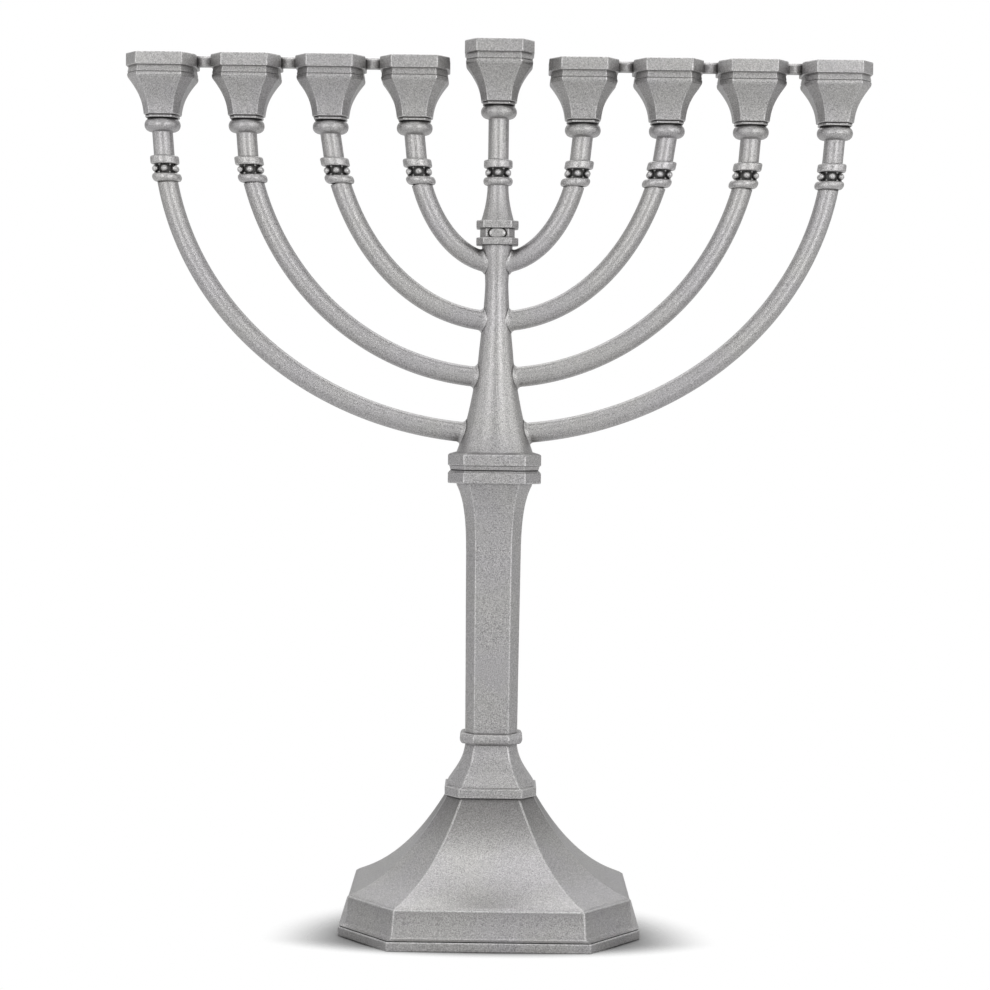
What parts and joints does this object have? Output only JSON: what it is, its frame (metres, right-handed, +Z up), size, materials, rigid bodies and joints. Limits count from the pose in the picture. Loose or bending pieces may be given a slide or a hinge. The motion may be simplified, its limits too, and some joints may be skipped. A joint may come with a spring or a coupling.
{
  "type": "menorah",
  "caption": "Free-standing menorah of cast pewter-toned metal: curved arms carry octagonal candle cups above an octagonal column and a flared base.",
  "frame": {"origin": "on the surface it stands on, under the column's axis", "axes": "+Z up; +X along the row of branches; -Y is the front, with the raised oval"},
  "size_m": [0.2558, 0.102, 0.305],
  "materials": {
    "cast_pewter": "matte antique pewter with a fine cast grain",
    "beaded_pewter": "antique pewter with dark patina left between the beads",
    "tie_steel": "zinc plated",
    "base_felt": "felt"
  },
  "bodies": {
    "stand": {"base_pad": "base_felt", "base_plate": "cast_pewter", "base_shell": "cast_pewter", "neck": "cast_pewter", "column": "cast_pewter", "collar_lower": "cast_pewter", "tie_rod": "tie_steel", "tie_nut": "tie_steel", "tie_washer": "tie_steel"},
    "branches": {"trunk": "cast_pewter", "shamash_socket": "cast_pewter", "arm_right_1": "cast_pewter", "ferrule_right_1": "beaded_pewter", "stem_right_1": "cast_pewter", "cup_right_1": "cast_pewter", "tie_bar_right_1": "cast_pewter", "arm_right_2": "cast_pewter", "ferrule_right_2": "beaded_pewter", "stem_right_2": "cast_pewter", "cup_right_2": "cast_pewter", "tie_bar_right_2": "cast_pewter", "arm_right_3": "cast_pewter", "ferrule_right_3": "beaded_pewter", "stem_right_3": "cast_pewter", "cup_right_3": "cast_pewter", "tie_bar_right_3": "cast_pewter", "arm_right_4": "cast_pewter", "ferrule_right_4": "beaded_pewter", "stem_right_4": "cast_pewter", "cup_right_4": "cast_pewter", "arm_left_1": "cast_pewter", "ferrule_left_1": "beaded_pewter", "stem_left_1": "cast_pewter", "cup_left_1": "cast_pewter", "tie_bar_left_1": "cast_pewter", "arm_left_2": "cast_pewter", "ferrule_left_2": "beaded_pewter", "stem_left_2": "cast_pewter", "cup_left_2": "cast_pewter", "tie_bar_left_2": "cast_pewter", "arm_left_3": "cast_pewter", "ferrule_left_3": "beaded_pewter", "stem_left_3": "cast_pewter", "cup_left_3": "cast_pewter", "tie_bar_left_3": "cast_pewter", "arm_left_4": "cast_pewter", "ferrule_left_4": "beaded_pewter", "stem_left_4": "cast_pewter", "cup_left_4": "cast_pewter"},
    "shamash": {"shamash_foot": "cast_pewter", "ferrule_shamash": "beaded_pewter", "stem_shamash": "cast_pewter", "cup_shamash": "cast_pewter"}
  },
  "joints": [
    {"name": "arms_turn", "type": "hinge", "parent": "stand", "child": "branches", "pos_m": [0, 0, 0.1578], "axis": [0, 0, 1], "continuous": true},
    {"name": "shamash_lift", "type": "slide", "parent": "branches", "child": "shamash", "axis": [0, 0, 1], "range_m": [0, 0.012]}
  ]
}
